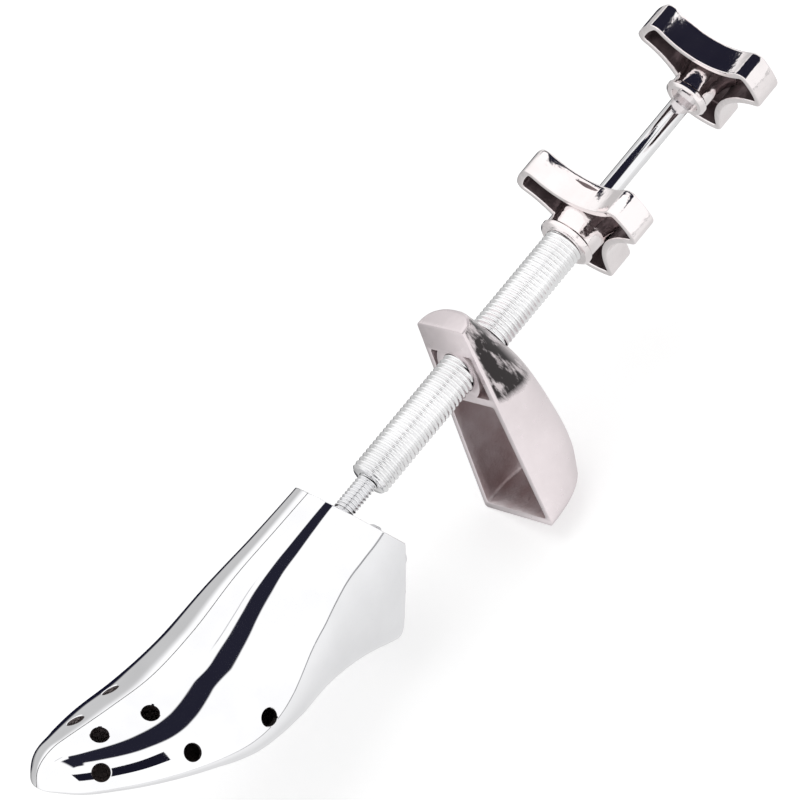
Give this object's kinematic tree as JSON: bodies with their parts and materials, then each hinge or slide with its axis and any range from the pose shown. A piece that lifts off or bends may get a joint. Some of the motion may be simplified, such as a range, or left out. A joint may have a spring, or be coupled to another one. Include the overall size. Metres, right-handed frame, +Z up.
{
  "type": "shoe stretcher",
  "caption": "Two-way metal shoe stretcher: a split toe last opened by a wedge on a screw rod, and a threaded tube that drives a hollow heel block for length.",
  "frame": {"origin": "centre of the end knob's flat back face, on the shaft's axis", "axes": "+X along the shaft towards the toe, +Y towards the left half of the last, +Z up through the instep ridge"},
  "size_m": [0.3811, 0.0669, 0.1021],
  "materials": {
    "mirror_chrome": "mirror polished",
    "leaf_steel": "zinc plated",
    "bright_screw": "bright plated",
    "plain_steel": "plain machined",
    "cone_brass": "turned",
    "dark_steel": "blackened",
    "spring_steel": "drawn wire",
    "rod_steel": "polished, with a rolled thread",
    "nickel": "polished nickel plate on a die casting",
    "zinc_thread": "bright zinc plate, rolled thread",
    "satin_nickel": "satin nickel plate on a die casting"
  },
  "bodies": {
    "core": {"rod_yoke": "plain_steel", "hinge_pin": "leaf_steel", "return_spring": "spring_steel"},
    "half_left": {"last_left": "mirror_chrome", "hinge_leaf_left": "leaf_steel", "leaf_screws_left": "bright_screw", "spring_post_left": "plain_steel"},
    "half_right": {"last_right": "mirror_chrome", "hinge_leaf_right": "leaf_steel", "leaf_screws_right": "bright_screw", "spring_post_right": "plain_steel"},
    "wedge": {"wedge_cone": "cone_brass", "cone_washer": "plain_steel"},
    "rod": {"width_rod": "rod_steel", "width_knob": "nickel", "width_knob_pin": "plain_steel", "cone_clip": "dark_steel"},
    "tube": {"length_tube": "zinc_thread", "length_knob": "nickel", "length_knob_screw": "dark_steel"},
    "heel": {"heel_block": "satin_nickel"}
  },
  "joints": [
    {"name": "left_open", "type": "hinge", "parent": "core", "child": "half_left", "pos_m": [0.2315, 0, -0.02824], "axis": [-0.5736, 0, 0.8192], "range_deg": [0, 8.02], "deforming": ["return_spring"]},
    {"name": "right_open", "type": "hinge", "parent": "core", "child": "half_right", "pos_m": [0.2315, 0, -0.02824], "axis": [0.5736, 0, -0.8192], "range_deg": [0, 8.02]},
    {"name": "wedge_push", "type": "slide", "parent": "core", "child": "wedge", "axis": [1, 0, 0], "range_m": [0, 0.0165]},
    {"name": "rod_spin", "type": "hinge", "parent": "wedge", "child": "rod", "pos_m": [0, 0, 0], "axis": [1, 0, 0], "range_deg": [0, 3961]},
    {"name": "tube_spin", "type": "hinge", "parent": "core", "child": "tube", "pos_m": [0.1, 0, 0], "axis": [1, 0, 0], "range_deg": [-6480, 7560]},
    {"name": "heel_travel", "type": "slide", "parent": "core", "child": "heel", "axis": [1, 0, 0], "range_m": [-0.04201, 0.03601]}
  ],
  "couplings": [
    {"joint": "rod_spin", "follows": "wedge_push", "rad_per_m": 4188.8},
    {"joint": "left_open", "follows": "wedge_push", "rad_per_m": 8.4622},
    {"joint": "right_open", "follows": "wedge_push", "rad_per_m": 8.4622},
    {"joint": "heel_travel", "follows": "tube_spin", "m_per_rad": -0.00031831}
  ]
}
